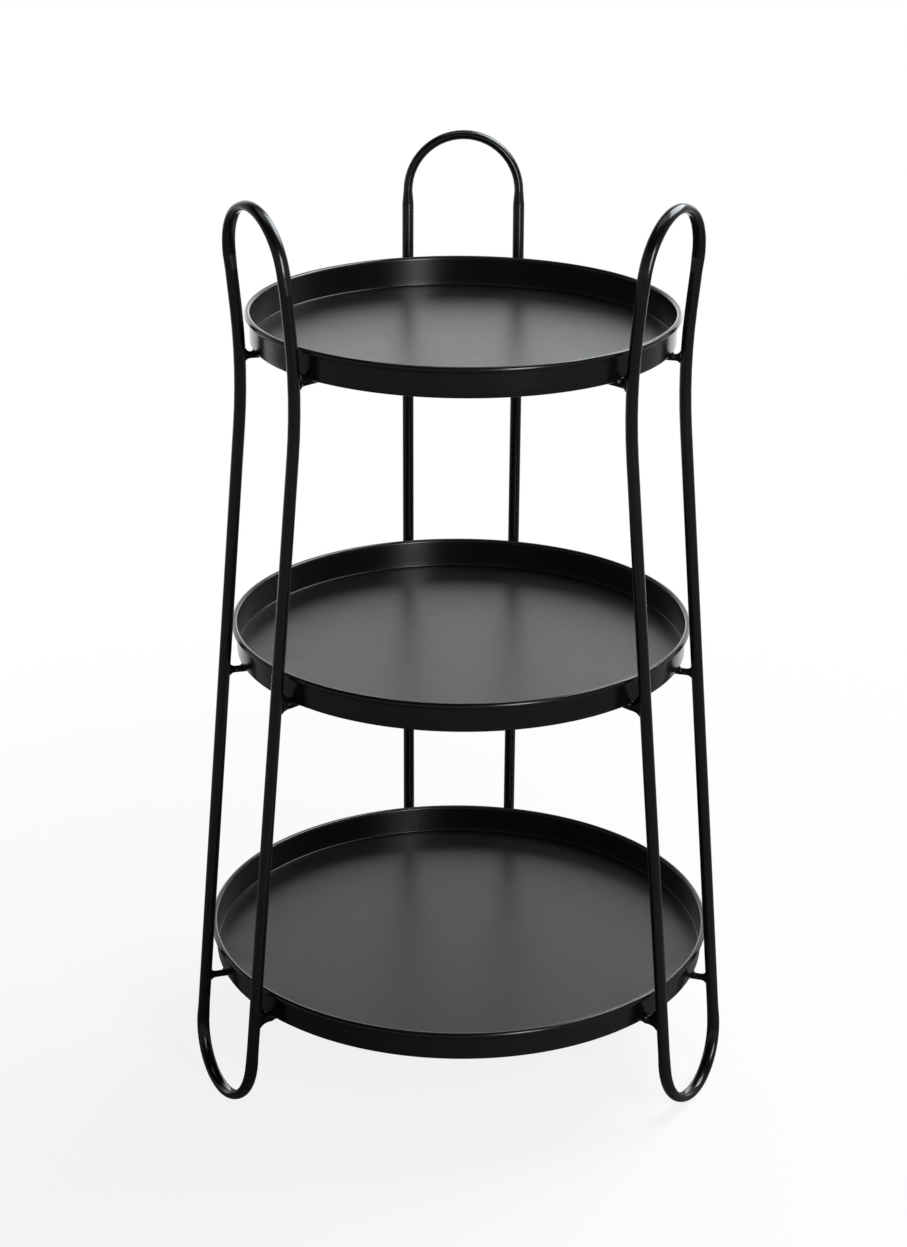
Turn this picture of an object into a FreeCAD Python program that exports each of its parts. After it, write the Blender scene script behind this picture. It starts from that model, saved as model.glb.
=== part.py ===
import FreeCAD, Part
import math
import os

from FreeCAD import Vector

# Tiered side table: three round pans welded into three closed tube loops.
# The origin is on the trays' common axis at floor level, +Z is up and the back loop stands towards +Y.

# Levels: the lowest rim above the floor, each next rim above the one under it, the handles above the top rim
bottom_rim_height = 123.0
middle_rim_rise = 294.5
top_rim_rise = 281.0
handle_rise = 112.5

# Loops: each is one tube, bent into a hairpin foot, two parallel legs with a waist, and a handle arch.
# The offsets run from the trays' axis square to the loop, at the floor, the waist and the handle's top.
tube_diameter = 10.5
leg_spacing = 101.0
foot_offset = 244.4
waist_offset = 184.6
handle_offset = 199.6
waist_drop = 39.5
waist_bend_radius = 550.0

# In its tight bends the tube flattens in the plane of the bend and bulges across it
bend_flattening = 2.0
bend_bulge = 1.2
bend_run_in = 12.0

# Trays: spun sheet pans with a rim curled outwards, each as wide as the legs allow with a gap beside its rim
sheet = 1.2
tray_height = 27.0
rim_roll = 5.4
rim_curl = 298.0
wall_draft = 0.8
corner_radius = 0.8
top_rim_gap = 3.2
middle_rim_gap = 3.8
bottom_rim_gap = 4.6

# Stubs: short rods from a leg to under a tray's edge, flattened a little where they bear on the tray
stub_diameter = 6.0
stub_flat = 0.4
stub_reach = 18.0

# Welds: a fillet that climbs the leg above the stub and sags below it, and a seat that bears the tray's edge
weld_climb = 4.5
weld_sag = 2.8
weld_side = 0.6
weld_run = 4.0
seat_weld = 2.0
seat_taper = 12.0

loop_names = ("back", "left", "right")
# Left and right are as seen from the trays' axis
leg_sides = {"left": -1, "right": 1}

origin = Vector(0, 0, 0)
sideways = Vector(1, 0, 0)
vertical = Vector(0, 0, 1)

middle_rim_height = bottom_rim_height + middle_rim_rise
top_rim_height = middle_rim_height + top_rim_rise
waist_height = top_rim_height - waist_drop
overall_height = top_rim_height + handle_rise
tube_radius = tube_diameter / 2
stub_radius = stub_diameter / 2
roll_radius = rim_roll / 2
bend_radius = leg_spacing / 2
bend_half_depth = (tube_diameter - bend_flattening) / 2
bend_half_breadth = (tube_diameter + bend_bulge) / 2
splay = math.atan2(foot_offset - waist_offset, waist_height)
lean = math.atan2(handle_offset - waist_offset, overall_height - waist_height)
draft = math.radians(wall_draft)
curl = math.radians(rim_curl)
loop_turns = {name: index * 360 / len(loop_names) for index, name in enumerate(loop_names)}

# One loop in its own place at the back, described from the point where its leg lines would cross at the waist
waist = Vector(0, waist_offset, waist_height)
downwards = Vector(0, math.sin(splay), -math.cos(splay))
upwards = Vector(0, math.sin(lean), math.cos(lean))
waist_tangent = waist_bend_radius * math.tan((splay + lean) / 2)
waist_low = waist + downwards * waist_tangent
waist_high = waist + upwards * waist_tangent
waist_centre = waist_low + Vector(0, math.cos(splay), math.sin(splay)) * waist_bend_radius


# Height of a leaning bend's outermost point above the centre of its flattened section
def bend_rise(angle):
    return math.hypot(bend_half_depth * math.cos(angle), bend_half_breadth * math.sin(angle))


foot_reach = (waist_height - bend_rise(splay)) / math.cos(splay)
arch_reach = (overall_height - bend_rise(lean) - waist_height) / math.cos(lean)


# Closed outline square to a run: half its width lies along the given direction, half its depth square to it
def section(centre, run, across, half_width, half_depth):
    if half_width > half_depth:
        curve = Part.Ellipse(Vector(half_width, 0, 0), Vector(0, half_depth, 0), origin)
    elif half_depth > half_width:
        curve = Part.Ellipse(Vector(0, half_depth, 0), Vector(-half_width, 0, 0), origin)
    else:
        curve = Part.Circle(origin, vertical, half_width)
    outline = Part.Wire(curve.toShape())
    outline.Placement = FreeCAD.Placement(centre, FreeCAD.Rotation(across, run.cross(across), run, "ZXY"))
    return outline


def round_section(centre, run):
    return section(centre, run, run.cross(sideways), tube_radius, tube_radius)


# Half-round end of a loop, with the stretch on each leg where the tube goes from round to flattened
def tight_bend(run, reach):
    pieces = []
    across = run.cross(sideways)
    centre = waist + run * (reach - bend_radius)
    for side in leg_sides.values():
        bend_end = centre + sideways * (side * bend_radius)
        flattened = section(bend_end, run, across, bend_half_breadth, bend_half_depth)
        full = round_section(bend_end - run * bend_run_in, run)
        pieces.append(Part.makeLoft([full, flattened], True, True))
    pieces.append(Part.Face(flattened).revolve(centre, across, -180))
    return pieces


def straight_leg(start, run, length, side):
    return Part.makeCylinder(tube_radius, length, start + sideways * (side * bend_radius), run)


def waist_bend(side):
    offset = sideways * (side * bend_radius)
    start = Part.Face(round_section(waist_low + offset, downwards))
    return start.revolve(waist_centre, sideways, -math.degrees(splay + lean))


def make_loop():
    pieces = tight_bend(downwards, foot_reach) + tight_bend(upwards, arch_reach)
    bend_length = bend_radius + bend_run_in + waist_tangent
    for side in leg_sides.values():
        pieces.append(straight_leg(waist_low, downwards, foot_reach - bend_length, side))
        pieces.append(straight_leg(waist_high, upwards, arch_reach - bend_length, side))
        pieces.append(waist_bend(side))
    return pieces[0].multiFuse(pieces[1:]).Solids[0]


# Distance of a loop's leg line from the trays' axis, measured square to the loop, at a height
def leg_offset(height):
    if height < waist_low.z:
        return waist_offset + (waist_height - height) * math.tan(splay)
    if height > waist_high.z:
        return waist_offset + (height - waist_height) * math.tan(lean)
    return waist_centre.y - math.sqrt(waist_bend_radius**2 - (height - waist_centre.z) ** 2)


# A tray's base and rim levels and the rim radius that leaves its gap to the legs
def tray_place(rim_height, rim_gap):
    to_leg = math.hypot(bend_radius, leg_offset(rim_height - roll_radius))
    rim_radius = to_leg - tube_radius - rim_gap
    return {"base": rim_height - tray_height, "rim_height": rim_height, "rim_radius": rim_radius}


# Radius of a tray wall's outer face at a height
def wall_radius(tray, height):
    roll_height = tray["rim_height"] - roll_radius
    inner = tray["rim_radius"] - rim_roll - (roll_height - height) * math.tan(draft)
    return inner + sheet / math.cos(draft)


# Three points round a pan's bottom corner, from floor to wall, at a distance from the corner's centre
def corner_points(tray, distance):
    height = tray["base"] + sheet + corner_radius
    centre = Vector(wall_radius(tray, height) - (corner_radius + sheet) / math.cos(draft), 0, height)
    halfway = (math.pi / 2 + draft) / 2
    to_bend = Vector(math.cos(halfway), 0, -math.sin(halfway))
    to_wall = Vector(math.cos(draft), 0, -math.sin(draft))
    return [centre + way * distance for way in (-vertical, to_bend, to_wall)]


def spin(edges):
    half_section = Part.Face(Part.Wire([edge.toShape() for edge in edges]))
    return half_section.revolve(origin, vertical, 360)


# A pan's half section runs from the axis over the floor, up the wall, round both faces of the curl and back
def make_tray(tray):
    base = Vector(0, 0, tray["base"])
    floor = Vector(0, 0, tray["base"] + sheet)
    inside = corner_points(tray, corner_radius)
    outside = corner_points(tray, corner_radius + sheet)[::-1]
    roll_centre = Vector(tray["rim_radius"] - roll_radius, 0, tray["rim_height"] - roll_radius)
    bore_radius = roll_radius - sheet
    outwards = Vector(1, 0, 1).normalize()
    curl_end = Vector(-math.cos(curl), 0, math.sin(curl))
    roll_start = roll_centre - Vector(roll_radius, 0, 0)
    roll_end = roll_centre + curl_end * roll_radius
    bore_end = roll_centre + curl_end * bore_radius
    wall_top = Vector(wall_radius(tray, roll_centre.z), 0, roll_centre.z)
    edges = [
        Part.LineSegment(floor, inside[0]),
        Part.Arc(*inside),
        Part.LineSegment(inside[-1], roll_start),
        Part.Arc(roll_start, roll_centre + outwards * roll_radius, roll_end),
        Part.LineSegment(roll_end, bore_end),
        Part.Arc(bore_end, roll_centre + outwards * bore_radius, wall_top),
        Part.LineSegment(wall_top, outside[0]),
        Part.Arc(*outside),
        Part.LineSegment(outside[-1], base),
        Part.LineSegment(base, floor),
    ]
    return spin(edges)


# A pan filled up to its rim level, used to shape what bears on its outside
def fill_tray(tray):
    base = Vector(0, 0, tray["base"])
    level = Vector(0, 0, tray["rim_height"])
    outside = corner_points(tray, corner_radius + sheet)
    wall_top = Vector(wall_radius(tray, tray["rim_height"]), 0, tray["rim_height"])
    edges = [
        Part.LineSegment(base, outside[0]),
        Part.Arc(*outside),
        Part.LineSegment(outside[-1], wall_top),
        Part.LineSegment(wall_top, level),
        Part.LineSegment(level, base),
    ]
    return spin(edges)


# Where a stub's line leaves the leg line, its level run towards the trays' axis, and how far the wall is
def stub_line(tray, side):
    height = tray["base"] + stub_flat - stub_radius
    start = Vector(side * bend_radius, leg_offset(height), height)
    run = Vector(-start.x, -start.y, 0).normalize()
    return start, run, math.hypot(start.x, start.y) - wall_radius(tray, tray["base"])


def make_stub(tray, side, loop, filled):
    start, run, gap = stub_line(tray, side)
    rod = Part.makeCylinder(stub_radius, gap + stub_reach, start, run)
    return rod.cut(loop).cut(filled).Solids[0]


# Weld metal round a stub's leg end, carried on past its root and then cut to the pieces it joins
def make_leg_weld(tray, side, loop, stub):
    start, run, gap = stub_line(tray, side)
    tip = start + run * (tube_radius + weld_run)
    growth = (tube_radius + weld_run) / weld_run
    root = start + vertical * ((weld_climb - weld_sag) / 2 * growth)
    root_height = stub_radius + (weld_climb + weld_sag) / 2 * growth
    on_leg = section(root, run, vertical, root_height, stub_radius + weld_side * growth)
    on_stub = section(tip, run, vertical, stub_radius, stub_radius)
    return Part.makeLoft([on_leg, on_stub], True, True).cut(loop).cut(stub).Solids[0]


# Weld metal over a stub at the foot of the tray wall and along both sides of its seat, above the stub's axis
def make_seat_weld(tray, side, stub, filled):
    start, run, gap = stub_line(tray, side)
    widest = stub_radius + seat_weld
    swelling = Part.makeCone(stub_radius, widest, 2 * seat_weld, start + run * (gap - seat_weld), run)
    tapering = Part.makeCone(widest, stub_radius, seat_taper, start + run * (gap + seat_weld), run)
    below = Part.makeCylinder(foot_offset, tray_height, Vector(0, 0, start.z - tray_height), vertical)
    return swelling.fuse(tapering).cut(below).cut(filled).cut(stub).Solids[0]


def turned(shape, degrees):
    return shape.copy().rotate(origin, vertical, degrees)


trays = {
    "top": tray_place(top_rim_height, top_rim_gap),
    "middle": tray_place(middle_rim_height, middle_rim_gap),
    "bottom": tray_place(bottom_rim_height, bottom_rim_gap),
}
loop = make_loop()
parts = {f"{name}_loop": turned(loop, turn) for name, turn in loop_turns.items()}
for tier, tray in trays.items():
    parts[f"{tier}_tray"] = make_tray(tray)
    filled = fill_tray(tray)
    welds = []
    for side_name, side in leg_sides.items():
        stub = make_stub(tray, side, loop, filled)
        beads = [make_leg_weld(tray, side, loop, stub), make_seat_weld(tray, side, stub, filled)]
        for loop_name, turn in loop_turns.items():
            parts[f"{tier}_stub_{loop_name}_{side_name}"] = turned(stub, turn)
            welds += [turned(bead, turn) for bead in beads]
    parts[f"{tier}_welds"] = Part.makeCompound(welds)

os.makedirs("parts", exist_ok=True)
for name, shape in parts.items():
    shape.exportStep(f"parts/{name}.step")
    box = shape.BoundBox
    print(f"{name}: {len(shape.Solids)} solids, {box.XLength:.1f} x {box.YLength:.1f} x {box.ZLength:.1f} mm")
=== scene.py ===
import bmesh
import bpy
import math
from mathutils import Euler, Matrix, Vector


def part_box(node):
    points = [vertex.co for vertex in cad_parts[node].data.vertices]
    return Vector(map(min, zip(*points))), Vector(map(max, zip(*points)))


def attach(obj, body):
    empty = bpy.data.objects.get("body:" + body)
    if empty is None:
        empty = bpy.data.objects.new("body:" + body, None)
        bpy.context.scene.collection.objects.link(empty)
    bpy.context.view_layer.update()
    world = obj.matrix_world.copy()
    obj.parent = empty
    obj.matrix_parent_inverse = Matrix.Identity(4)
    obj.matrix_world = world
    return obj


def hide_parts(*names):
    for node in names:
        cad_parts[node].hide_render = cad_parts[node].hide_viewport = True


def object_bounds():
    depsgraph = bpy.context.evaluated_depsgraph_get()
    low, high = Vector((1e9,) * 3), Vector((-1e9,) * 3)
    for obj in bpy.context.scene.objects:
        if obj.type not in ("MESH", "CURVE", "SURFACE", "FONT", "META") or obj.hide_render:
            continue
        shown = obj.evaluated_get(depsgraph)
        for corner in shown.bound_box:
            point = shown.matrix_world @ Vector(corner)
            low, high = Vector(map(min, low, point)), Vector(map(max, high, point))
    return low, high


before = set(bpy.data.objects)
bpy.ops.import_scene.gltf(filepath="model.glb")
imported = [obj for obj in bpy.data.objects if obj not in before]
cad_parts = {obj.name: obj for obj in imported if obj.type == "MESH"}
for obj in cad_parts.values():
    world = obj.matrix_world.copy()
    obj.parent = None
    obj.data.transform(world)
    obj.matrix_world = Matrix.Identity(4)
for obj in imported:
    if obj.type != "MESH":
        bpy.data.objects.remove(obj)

cadBox = [list(corner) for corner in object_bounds()]
tiers = ("top", "middle", "bottom")
smoothAngle = math.radians(40)
print("frame loaded,", len(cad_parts), "nodes")


def clearSelection():
    if bpy.context.mode != "OBJECT":
        bpy.ops.object.mode_set(mode="OBJECT")
    bpy.ops.object.select_all(action="DESELECT")


# selects the points of the mesh in edit mode that pass a test of their place
def pickPoints(obj, test):
    bpy.ops.mesh.select_all(action="DESELECT")
    mesh = bmesh.from_edit_mesh(obj.data)
    for point in mesh.verts:
        point.select = test(point.co)
    mesh.select_flush(True)
    bmesh.update_edit_mesh(obj.data)


def pickFaces(obj, test):
    bpy.ops.mesh.select_all(action="DESELECT")
    mesh = bmesh.from_edit_mesh(obj.data)
    for face in mesh.faces:
        if test(face):
            face.select_set(True)
    bmesh.update_edit_mesh(obj.data)


def finishPiece(piece, finish, *nodes):
    piece.data.materials.clear()
    piece.data.materials.append(finish)
    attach(piece, "root")
    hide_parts(*nodes)


# satin black powder coat, a little warm, with the faint orange peel of a baked coat; duller on the welds
coatOnPans = {
    "dark": 0.0036,
    "light": 0.0046,
    "gloss": (0.20, 0.23),
    "flat": 0.13,
    "shine": 0.5,
    "peel": 0.003,
    "peelSize": 620.0,
    "swell": 0.002,
}
coatOnTubes = {
    "dark": 0.0040,
    "light": 0.0050,
    "gloss": (0.18, 0.21),
    "flat": 0.0,
    "shine": 0.5,
    "peel": 0.004,
    "peelSize": 620.0,
    "swell": 0.003,
}
coatOnWelds = {
    "dark": 0.0030,
    "light": 0.0038,
    "gloss": (0.24, 0.30),
    "flat": 0.0,
    "shine": 0.18,
    "peel": 0.01,
    "peelSize": 480.0,
    "swell": 0.01,
}


def mixCoat(name, coat):
    finish = bpy.data.materials.new(name)
    finish.use_nodes = True
    tree = finish.node_tree
    shader = tree.nodes["Principled BSDF"]
    shader.inputs["IOR"].default_value = 1.5
    shader.inputs["Specular IOR Level"].default_value = coat["shine"]
    place = tree.nodes.new("ShaderNodeTexCoord")

    def cloud(size, detail):
        noise = tree.nodes.new("ShaderNodeTexNoise")
        noise.inputs["Scale"].default_value = size
        noise.inputs["Detail"].default_value = detail
        tree.links.new(place.outputs["Object"], noise.inputs["Vector"])
        return noise

    tone = tree.nodes.new("ShaderNodeValToRGB")  # uneven film thickness
    tone.color_ramp.elements[0].position = 0.35
    tone.color_ramp.elements[1].position = 0.65
    for end, level in zip(tone.color_ramp.elements, (coat["dark"], coat["light"])):
        end.color = (level * 1.06, level, level * 0.93, 1)
    tree.links.new(cloud(38.0, 3.0).outputs["Fac"], tone.inputs["Fac"])
    tree.links.new(tone.outputs["Color"], shader.inputs["Base Color"])

    gloss = tree.nodes.new("ShaderNodeMapRange")
    gloss.inputs["From Min"].default_value = 0.3
    gloss.inputs["From Max"].default_value = 0.7
    gloss.inputs["To Min"].default_value = coat["gloss"][0]
    gloss.inputs["To Max"].default_value = coat["gloss"][1]
    tree.links.new(cloud(85.0, 4.0).outputs["Fac"], gloss.inputs["Value"])
    shape = tree.nodes.new("ShaderNodeNewGeometry")
    facing = tree.nodes.new("ShaderNodeSeparateXYZ")
    flat = tree.nodes.new("ShaderNodeMapRange")  # the coat lies thicker and duller on level sheet
    flat.interpolation_type = "SMOOTHSTEP"
    flat.inputs["From Min"].default_value = 0.97
    flat.inputs["From Max"].default_value = 0.999
    flat.inputs["To Max"].default_value = coat["flat"]
    rough = tree.nodes.new("ShaderNodeMath")
    tree.links.new(shape.outputs["Normal"], facing.inputs["Vector"])
    tree.links.new(facing.outputs["Z"], flat.inputs["Value"])
    tree.links.new(gloss.outputs["Result"], rough.inputs[0])
    tree.links.new(flat.outputs["Result"], rough.inputs[1])
    tree.links.new(rough.outputs["Value"], shader.inputs["Roughness"])

    peel = tree.nodes.new("ShaderNodeBump")  # fine orange peel
    peel.inputs["Strength"].default_value = coat["peel"]
    peel.inputs["Distance"].default_value = 0.0004
    tree.links.new(cloud(coat["peelSize"], 2.0).outputs["Fac"], peel.inputs["Height"])
    swell = tree.nodes.new("ShaderNodeBump")  # slow swell of the sheet or bead below
    swell.inputs["Strength"].default_value = coat["swell"]
    swell.inputs["Distance"].default_value = 0.002
    tree.links.new(cloud(45.0, 1.0).outputs["Fac"], swell.inputs["Height"])
    tree.links.new(swell.outputs["Normal"], peel.inputs["Normal"])
    tree.links.new(peel.outputs["Normal"], shader.inputs["Normal"])
    return finish


panCoat = mixCoat("panCoat", coatOnPans)
tubeCoat = mixCoat("tubeCoat", coatOnTubes)
weldCoat = mixCoat("weldCoat", coatOnWelds)
for nodeName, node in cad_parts.items():
    node.material_slots[0].material = weldCoat if nodeName.endswith("welds") else tubeCoat
print("powder coat mixed")

# pans: a curled rim, a wall with a little draft and a flat floor, drawn as one line and spun
panShape = {
    "sheet": 0.0012,
    "rollRadius": 0.0027,
    "rollPoints": 60,
    "curl": 297.0,
    "draft": math.radians(0.8),
    "bend": 0.0008,
    "bendSteps": 5,
    "wallSteps": 4,
    "floorSteps": 32,
    "turnSteps": 192,
    "dimple": 0.00035,
    "dimpleReach": 0.034,
    "dimpleInset": 0.016,
    "merge": 0.000005,
}
# where the stubs bear
stubTurns = [math.radians(loop + side) for loop in (90, 210, 330) for side in (-13, 13)]


def makePan(tier):
    low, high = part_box(tier + "_tray")
    roll, bend, draft = panShape["rollRadius"], panShape["bend"], panShape["draft"]
    rollX, rollZ = min(high.x, -low.y) - roll, high.z - roll
    floorZ = low.z + panShape["sheet"]
    wallX = rollX - roll - (rollZ - floorZ - bend) * math.tan(draft)
    bendX = wallX - bend / math.cos(draft)

    clearSelection()
    bpy.ops.mesh.primitive_circle_add(
        vertices=panShape["rollPoints"], radius=roll, location=(rollX, 0, rollZ), rotation=(math.pi / 2, 0, 0)
    )
    pan = bpy.context.object
    pan.name = tier + "Pan"
    bpy.ops.object.transform_apply(location=True, rotation=True, scale=True)
    bpy.ops.object.mode_set(mode="EDIT")

    def turnRound(place):  # degrees from the wall, over the top of the roll
        return math.degrees(math.atan2(place.z - rollZ, rollX - place.x)) % 360

    pickPoints(pan, lambda place: panShape["curl"] + 0.5 < turnRound(place) < 359)
    bpy.ops.mesh.delete(type="VERT")
    pickPoints(pan, lambda place: turnRound(place) < 1 or turnRound(place) > 359)
    wallEnd = Vector((bendX + bend * math.cos(draft), 0, floorZ + bend - bend * math.sin(draft)))
    wallStep = (wallEnd - Vector((rollX - roll, 0, rollZ))) / panShape["wallSteps"]
    for step in range(panShape["wallSteps"]):
        bpy.ops.mesh.extrude_vertices_move(TRANSFORM_OT_translate={"value": wallStep})
    bpy.ops.mesh.spin(
        steps=panShape["bendSteps"],
        angle=math.pi / 2 - draft,
        center=(bendX, 0, floorZ + bend),
        axis=(0, -1, 0),
    )
    floorStep = (-bendX / panShape["floorSteps"], 0, 0)
    for step in range(panShape["floorSteps"]):
        bpy.ops.mesh.extrude_vertices_move(TRANSFORM_OT_translate={"value": floorStep})
    bpy.ops.mesh.select_all(action="SELECT")
    bpy.ops.mesh.spin(steps=panShape["turnSteps"], angle=2 * math.pi, center=(0, 0, 0), axis=(0, 0, 1))
    bpy.ops.mesh.select_all(action="SELECT")
    bpy.ops.mesh.remove_doubles(threshold=panShape["merge"])
    bpy.ops.mesh.normals_make_consistent(inside=False)
    mesh = bmesh.from_edit_mesh(pan.data)
    centre = min(mesh.faces, key=lambda face: face.calc_center_median().xy.length)
    if centre.normal.z < 0:
        bpy.ops.mesh.flip_normals()

    # the floor is drawn down a little where the stubs were welded on
    for turn in stubTurns:
        reach = bendX - panShape["dimpleInset"]
        spot = Vector((reach * math.cos(turn), reach * math.sin(turn), floorZ))
        mesh = bmesh.from_edit_mesh(pan.data)
        nearest = min((point.co.copy() for point in mesh.verts), key=lambda place: (place - spot).length)
        pickPoints(pan, lambda place: (place - nearest).length < panShape["merge"])
        bpy.ops.transform.translate(
            value=(0, 0, -panShape["dimple"]),
            use_proportional_edit=True,
            use_proportional_connected=True,
            proportional_edit_falloff="SMOOTH",
            proportional_size=panShape["dimpleReach"],
        )
    bpy.ops.object.mode_set(mode="OBJECT")

    thick = pan.modifiers.new("sheet", "SOLIDIFY")
    thick.thickness = panShape["sheet"]
    thick.offset = -1
    thick.use_even_offset = True
    bpy.ops.object.modifier_apply(modifier=thick.name)
    bpy.ops.object.shade_smooth_by_angle(angle=smoothAngle)
    finishPiece(pan, panCoat, tier + "_tray")
    print(pan.name, "spun,", len(pan.data.polygons), "faces")


for tier in tiers:
    makePan(tier)

# welds: a fillet flaring from the stub to the leg, a small one up to the wall and a run under the pan
weldShape = {
    "stubRadius": 0.003,
    "stubDrop": 0.0026,
    "tubeRadius": 0.00525,
    "points": 28,
    "rings": 6,
    "start": 0.0004,
    "sunkInLeg": 0.0025,
    "sunkInWall": 0.0009,
    "sunkEnd": 0.7,
    "seatWidth": 0.0018,
    "seatLength": 0.0130,
    "seatEnd": 0.64,
    "seatRise": 0.4,
    "seatDrop": 0.0004,
    "legBite": 0.97,
    "flareEnd": 0.995,
    "ripple": 1.012,
    "rippleFrom": 0.4,
    "rippleTo": 0.99,
    "frontLine": -0.1,
}
# small and hollow on most stubs, fuller on the legs nearest the front, where they fill the dark corner
# between leg, stub and pan
beadSizes = {
    "slim": {
        "legRun": 0.0044,
        "climb": 0.0046,
        "sag": 0.0030,
        "side": 0.0011,
        "wallRun": 0.0026,
        "wallClimb": 0.0024,
        "wallSag": 0.0,
        "wallSide": 0.0018,
        "hollow": 2.0,
    },
    "full": {
        "legRun": 0.0105,
        "climb": 0.0130,
        "sag": 0.0044,
        "side": 0.0022,
        "wallRun": 0.0070,
        "wallClimb": 0.0038,
        "wallSag": -0.0006,
        "wallSide": 0.0046,
        "hollow": 0.92,
    },
}
legLine = {
    "spacing": 0.101,
    "foot": 0.2444,
    "waist": 0.1846,
    "handle": 0.1996,
    "waistHeight": 0.659,
    "waistBend": 0.55,
}


# distance of a leg from the pans' axis, square to its loop, at a height up to the top pan
def legOffset(height):
    splay = math.atan2(legLine["foot"] - legLine["waist"], legLine["waistHeight"])
    lean = math.atan2(legLine["handle"] - legLine["waist"], cadBox[1][2] - legLine["waistHeight"])
    reach = legLine["waistBend"] * math.tan((splay + lean) / 2)
    bendLow = legLine["waistHeight"] - reach * math.cos(splay)
    if height < bendLow:
        return legLine["waist"] + (legLine["waistHeight"] - height) * math.tan(splay)
    centreOut = legLine["waist"] + reach * math.sin(splay) + legLine["waistBend"] * math.cos(splay)
    centreUp = bendLow + legLine["waistBend"] * math.sin(splay)
    return centreOut - math.sqrt(legLine["waistBend"] ** 2 - (height - centreUp) ** 2)


# one bead round a stub that lies along X: from a thin edge at the tip it flares towards its root
def makeBead(name, tip, root, climb, sag, side, hollow, sunk):
    stub, rings = weldShape["stubRadius"], weldShape["rings"]
    way = math.copysign(1, root - tip)
    clearSelection()
    bpy.ops.mesh.primitive_cylinder_add(
        vertices=weldShape["points"],
        radius=stub,
        depth=weldShape["start"],
        location=(tip - way * weldShape["start"] / 2, 0, 0),
        rotation=(0, math.pi / 2, 0),
    )
    bead = bpy.context.object
    bead.name = name
    bpy.ops.object.transform_apply(location=True, rotation=True, scale=True)
    bpy.ops.object.mode_set(mode="EDIT")
    pickFaces(bead, lambda face: face.normal.x * way > 0.9)
    wide, tall, lift = stub, stub, 0.0
    for ring in range(1, rings + 1):
        along = weldShape["flareEnd"] * ring / rings
        above = climb * (1 - (1 - along ** hollow) ** (1 / hollow))
        below = sag * (1 - math.sqrt(1 - along ** 2))
        nextWide = stub + side * (1 - math.sqrt(1 - along ** 2))
        nextTall = stub + (above + below) / 2
        nextLift = (above - below) / 2
        step = ((root - tip) / rings, 0, nextLift - lift)
        bpy.ops.mesh.extrude_region_move(TRANSFORM_OT_translate={"value": step})
        bpy.ops.transform.resize(value=(1, nextWide / wide, nextTall / tall))
        wide, tall, lift = nextWide, nextTall, nextLift
    bpy.ops.mesh.extrude_region_move(TRANSFORM_OT_translate={"value": (way * sunk, 0, 0)})
    bpy.ops.transform.resize(value=(1, weldShape["sunkEnd"], weldShape["sunkEnd"]))

    # ripples of the weld run: every other line of points stands out a little
    def onRipple(place):
        past = (place.x - tip) / (root - tip)
        turn = math.atan2(place.z, place.y) / (2 * math.pi) * weldShape["points"]
        return weldShape["rippleFrom"] < past < weldShape["rippleTo"] and round(turn) % 2 == 0

    pickPoints(bead, onRipple)
    bpy.ops.transform.resize(value=(1, weldShape["ripple"], weldShape["ripple"]), center_override=(0, 0, 0))
    bpy.ops.object.mode_set(mode="OBJECT")
    soft = bead.modifiers.new("soft", "SUBSURF")
    soft.levels = 1
    soft.render_levels = 1
    bpy.ops.object.modifier_apply(modifier=soft.name)
    bpy.ops.object.shade_smooth()
    return bead


# weld run along both sides of the stub under the pan, flat against its base and tapering to nothing
def makeSeat(name, start):
    stub, length = weldShape["stubRadius"], weldShape["seatLength"]
    clearSelection()
    bpy.ops.mesh.primitive_cylinder_add(
        vertices=weldShape["points"],
        radius=stub + weldShape["seatWidth"],
        depth=length,
        location=(start + length / 2, 0, 0),
        rotation=(0, math.pi / 2, 0),
    )
    seat = bpy.context.object
    seat.name = name
    bpy.ops.object.transform_apply(location=True, rotation=True, scale=True)
    bpy.ops.object.mode_set(mode="EDIT")
    pickPoints(seat, lambda place: place.x > start + length * 0.9)
    bpy.ops.transform.resize(value=(1, weldShape["seatEnd"], weldShape["seatEnd"]), center_override=(0, 0, 0))
    seatTop = weldShape["stubDrop"] + panShape["sheet"] * weldShape["seatRise"]
    for level, upper in ((seatTop, True), (-weldShape["seatDrop"], False)):
        bpy.ops.mesh.select_all(action="SELECT")
        bpy.ops.mesh.bisect(
            plane_co=(0, 0, level),
            plane_no=(0, 0, 1),
            use_fill=True,
            clear_outer=upper,
            clear_inner=not upper,
        )
    bpy.ops.object.mode_set(mode="OBJECT")
    bpy.ops.object.shade_smooth_by_angle(angle=smoothAngle)
    return seat


# one stub's welds: the fillet on the leg, the one on the wall and the run below the pan
def makeSet(name, gap, size):
    legRoot = weldShape["tubeRadius"] * weldShape["legBite"]
    share = min(1, (gap - legRoot) / size["legRun"])  # where leg and wall are close the beads are shorter
    legBead = makeBead(
        name,
        legRoot + size["legRun"] * share,
        legRoot,
        size["climb"] * share,
        size["sag"],
        size["side"],
        size["hollow"],
        weldShape["sunkInLeg"],
    )
    wallBead = makeBead(
        name + "Wall",
        gap - size["wallRun"] * share,
        gap,
        size["wallClimb"],
        size["wallSag"],
        size["wallSide"],
        size["hollow"],
        weldShape["sunkInWall"],
    )
    seat = makeSeat(name + "Seat", gap)
    clearSelection()
    for bead in (wallBead, seat, legBead):
        bead.select_set(True)
    bpy.context.view_layer.objects.active = legBead
    bpy.ops.object.join()
    return legBead


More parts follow.
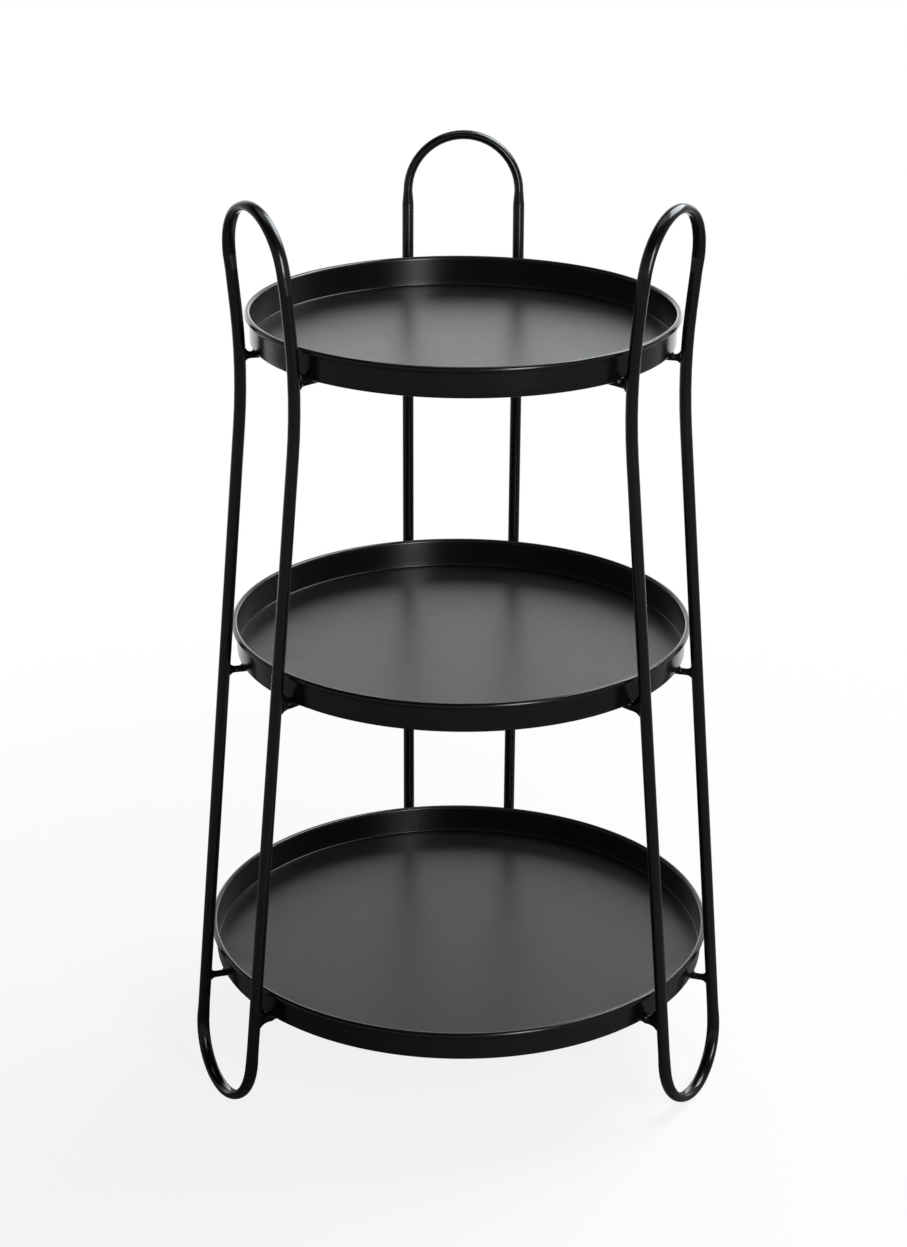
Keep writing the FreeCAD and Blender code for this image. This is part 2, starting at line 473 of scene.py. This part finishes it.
def makeWelds(tier):
    low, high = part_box(tier + "_tray")
    height = low.z - weldShape["stubDrop"]
    leg = Vector((legLine["spacing"] / 2, legOffset(height), 0))
    rollZ = high.z - panShape["rollRadius"]
    drawnIn = (rollZ - low.z) * math.tan(panShape["draft"])
    wall = high.x - 2 * panShape["rollRadius"] - drawnIn + panShape["sheet"]
    sets = {kind: makeSet(tier + kind, leg.length - wall, size) for kind, size in beadSizes.items()}

    # a set is copied to every stub of the tier
    copies = []
    for turn in (0, 120, 240):
        for side in (-1, 1):
            place = Vector((side * leg.x, leg.y, height))
            place.rotate(Euler((0, 0, math.radians(turn))))
            kind = sets["full" if place.y < weldShape["frontLine"] else "slim"]
            copied = kind.copy()
            copied.data = kind.data.copy()
            bpy.context.scene.collection.objects.link(copied)
            copied.location = place
            copied.rotation_euler = (0, 0, math.atan2(-place.y, -place.x))
            copies.append(copied)
    for kind in sets.values():
        bpy.data.objects.remove(kind)
    clearSelection()
    for copied in copies:
        copied.select_set(True)
    bpy.context.view_layer.objects.active = copies[0]
    bpy.ops.object.transform_apply(location=True, rotation=True, scale=True)
    bpy.ops.object.join()
    beads = bpy.context.object
    beads.name = tier + "Welds"
    bpy.context.scene.cursor.location = (0, 0, 0)
    bpy.ops.object.origin_set(type="ORIGIN_CURSOR")
    finishPiece(beads, weldCoat, tier + "_welds")
    print(beads.name, "laid,", len(beads.data.polygons), "faces")


for tier in tiers:
    makeWelds(tier)

# floor: a pale round that fades out into the white surround; to the coat it is painted dark, a painted dark
# reflection of the floor
floorLook = {
    "radius": 1.1,
    "edge": 0.33,
    "solid": 0.45,
    "pale": 0.86,
    "paintedDarkReflection": 0.20,
    "lift": 0.85,
}


def makeFloor():
    clearSelection()
    bpy.ops.mesh.primitive_circle_add(vertices=96, radius=floorLook["radius"], fill_type="NGON")
    floor = bpy.context.object
    floor.name = "studioFloor"
    bpy.ops.object.mode_set(mode="EDIT")
    bpy.ops.mesh.inset(thickness=floorLook["edge"])
    bpy.ops.object.mode_set(mode="OBJECT")
    paint = bpy.data.materials.new("studioFloor")
    paint.use_nodes = True
    tree = paint.node_tree
    tree.nodes.clear()
    place = tree.nodes.new("ShaderNodeTexCoord")
    length = tree.nodes.new("ShaderNodeVectorMath")
    length.operation = "LENGTH"
    fade = tree.nodes.new("ShaderNodeMapRange")
    fade.interpolation_type = "SMOOTHSTEP"
    fade.inputs["From Min"].default_value = floorLook["solid"]
    fade.inputs["From Max"].default_value = floorLook["radius"]
    matt = tree.nodes.new("ShaderNodeBsdfDiffuse")
    white = tree.nodes.new("ShaderNodeEmission")
    clear = tree.nodes.new("ShaderNodeBsdfTransparent")
    ray = tree.nodes.new("ShaderNodeLightPath")
    # the floor's colour: pale to the camera, painted dark for every other ray, so its reflection in the coat
    # is painted shade
    shade = tree.nodes.new("ShaderNodeMapRange")
    shade.inputs["To Min"].default_value = floorLook["paintedDarkReflection"]
    shade.inputs["To Max"].default_value = floorLook["pale"]
    lift = tree.nodes.new("ShaderNodeMath")
    lift.operation = "MULTIPLY"
    lift.inputs[1].default_value = floorLook["lift"]
    seen = tree.nodes.new("ShaderNodeMixShader")
    edge = tree.nodes.new("ShaderNodeMixShader")
    end = tree.nodes.new("ShaderNodeOutputMaterial")
    tree.links.new(place.outputs["Object"], length.inputs[0])
    tree.links.new(length.outputs["Value"], fade.inputs["Value"])
    tree.links.new(ray.outputs["Is Camera Ray"], shade.inputs["Value"])
    tree.links.new(shade.outputs["Result"], matt.inputs["Color"])
    tree.links.new(ray.outputs["Is Camera Ray"], lift.inputs[0])
    tree.links.new(lift.outputs["Value"], seen.inputs["Fac"])
    tree.links.new(matt.outputs["BSDF"], seen.inputs[1])
    tree.links.new(white.outputs["Emission"], seen.inputs[2])
    tree.links.new(fade.outputs["Result"], edge.inputs["Fac"])
    tree.links.new(seen.outputs["Shader"], edge.inputs[1])
    tree.links.new(clear.outputs["BSDF"], edge.inputs[2])
    tree.links.new(edge.outputs["Shader"], end.inputs["Surface"])
    floor.data.materials.append(paint)


makeFloor()

# surround: white to the camera; to the coat a studio brighter than white behind, dim at the sides and front
surround = {
    "strength": 3.0,
    "coolFrom": 0.5,
    "cool": (0.97, 0.99, 1.0),
    "warm": (1.0, 0.96, 0.90),
    "heading": (0.03, 1.0, 0),  # where the sweep is brightest
    # stops from front to back, and from straight down to straight up
    "round": ((0.0, 0.12), (0.45, 0.13), (0.67, 0.14), (0.85, 0.28), (0.95, 0.92), (1.0, 1.0)),
    "rise": (
        (0.0, 0.25),
        (0.36, 0.50),
        (0.46, 0.75),
        (0.5, 1.0),
        (0.57, 0.83),
        (0.64, 0.57),
        (0.69, 0.45),
        (0.735, 0.48),
        (0.78, 0.11),
        (0.83, 0.02),
    ),
}


def makeSurround():
    world = bpy.data.worlds.new("surround")
    bpy.context.scene.world = world
    world.use_nodes = True
    tree = world.node_tree
    tree.nodes.clear()
    place = tree.nodes.new("ShaderNodeTexCoord")

    def ramp(source, stops):
        spread = tree.nodes.new("ShaderNodeMapRange")
        spread.inputs["From Min"].default_value = -1
        tones = tree.nodes.new("ShaderNodeValToRGB")
        marks = tones.color_ramp.elements
        for where, grey in stops[1:-1]:
            marks.new(where)
        for mark, (where, grey) in zip(marks, stops):
            mark.position = where
            tint = surround["cool"] if grey > surround["coolFrom"] else surround["warm"]
            mark.color = (*(grey * part for part in tint), 1)
        tree.links.new(source, spread.inputs["Value"])
        tree.links.new(spread.outputs["Result"], tones.inputs["Fac"])
        return tones.outputs["Color"]

    level = tree.nodes.new("ShaderNodeVectorMath")
    level.operation = "MULTIPLY"
    level.inputs[1].default_value = (1, 1, 0)
    heading = tree.nodes.new("ShaderNodeVectorMath")
    heading.operation = "NORMALIZE"
    turn = tree.nodes.new("ShaderNodeVectorMath")
    turn.operation = "DOT_PRODUCT"
    turn.inputs[1].default_value = surround["heading"]
    upright = tree.nodes.new("ShaderNodeSeparateXYZ")
    power = tree.nodes.new("ShaderNodeMath")
    power.operation = "MULTIPLY"
    power.inputs[1].default_value = surround["strength"]
    studio = tree.nodes.new("ShaderNodeBackground")
    white = tree.nodes.new("ShaderNodeBackground")
    white.inputs["Color"].default_value = (1, 1, 1, 1)
    ray = tree.nodes.new("ShaderNodeLightPath")
    mix = tree.nodes.new("ShaderNodeMixShader")
    end = tree.nodes.new("ShaderNodeOutputWorld")
    tree.links.new(place.outputs["Generated"], level.inputs[0])
    tree.links.new(level.outputs["Vector"], heading.inputs[0])
    tree.links.new(heading.outputs["Vector"], turn.inputs[0])
    tree.links.new(ramp(turn.outputs["Value"], surround["round"]), studio.inputs["Color"])
    tree.links.new(place.outputs["Generated"], upright.inputs["Vector"])
    tree.links.new(ramp(upright.outputs["Z"], surround["rise"]), power.inputs[0])
    tree.links.new(power.outputs["Value"], studio.inputs["Strength"])
    tree.links.new(ray.outputs["Is Camera Ray"], mix.inputs["Fac"])
    tree.links.new(studio.outputs["Background"], mix.inputs[1])
    tree.links.new(white.outputs["Background"], mix.inputs[2])
    tree.links.new(mix.outputs["Shader"], end.inputs["Surface"])


makeSurround()

# lamps: a cool box behind on the right, a narrow one in front, a low weak one on the left and one above
lamps = {
    "coolBox": {
        "place": (1.0, 0.8, 2.05),
        "aim": (0, 0, 0.70),
        "size": (1.3, 1.2),
        "watts": 46.0,
        "tint": (0.86, 0.93, 1.0),
    },
    "frontBox": {
        "place": (0.72, -1.38, 1.06),
        "aim": (0, 0, 0.70),
        "size": (0.35, 0.8),
        "watts": 13.0,
        "tint": (0.9, 0.95, 1.0),
    },
    "leftBox": {
        "place": (-1.2, 0.85, 0.28),
        "aim": (0, 0, 0.68),
        "size": (0.55, 0.5),
        "watts": 0.45,
        "tint": (1.0, 0.98, 0.94),
    },
    "topBox": {
        "place": (0.0, 0.35, 2.5),
        "aim": (0, 0, 0.4),
        "size": (1.3, 1.0),
        "watts": 4.0,
        "tint": (1.0, 0.99, 0.97),
    },
}


def hangLamps():
    for name, lamp in lamps.items():
        data = bpy.data.lights.new(name, "AREA")
        data.shape = "RECTANGLE"
        data.size, data.size_y = lamp["size"]
        data.energy = lamp["watts"]
        data.color = lamp["tint"]
        obj = bpy.data.objects.new(name, data)
        bpy.context.scene.collection.objects.link(obj)
        obj.visible_camera = False
        obj.location = lamp["place"]
        obj.rotation_euler = (Vector(lamp["aim"]) - Vector(lamp["place"])).to_track_quat("-Z", "Y").to_euler()


hangLamps()

# camera: the photograph's own view, looking down from above the handles
view = {
    "place": (-0.00661, -2.22652, 1.28341),
    "down": 0.37423,
    "roll": 0.0062,
    "focalPixels": 2684.54,
    "imageHeight": 1247,
    "sensor": 36,
}


def setCamera():
    data = bpy.data.cameras.new("camera")
    data.sensor_width = view["sensor"]
    data.lens = view["focalPixels"] / view["imageHeight"] * view["sensor"]
    obj = bpy.data.objects.new("camera", data)
    bpy.context.scene.collection.objects.link(obj)
    obj.location = view["place"]
    obj.rotation_mode = "ZYX"
    obj.rotation_euler = (math.pi / 2 - view["down"], 0, view["roll"])
    bpy.context.scene.camera = obj


setCamera()
bpy.context.scene.view_settings.view_transform = "Standard"
print("stage, lamps and camera set")
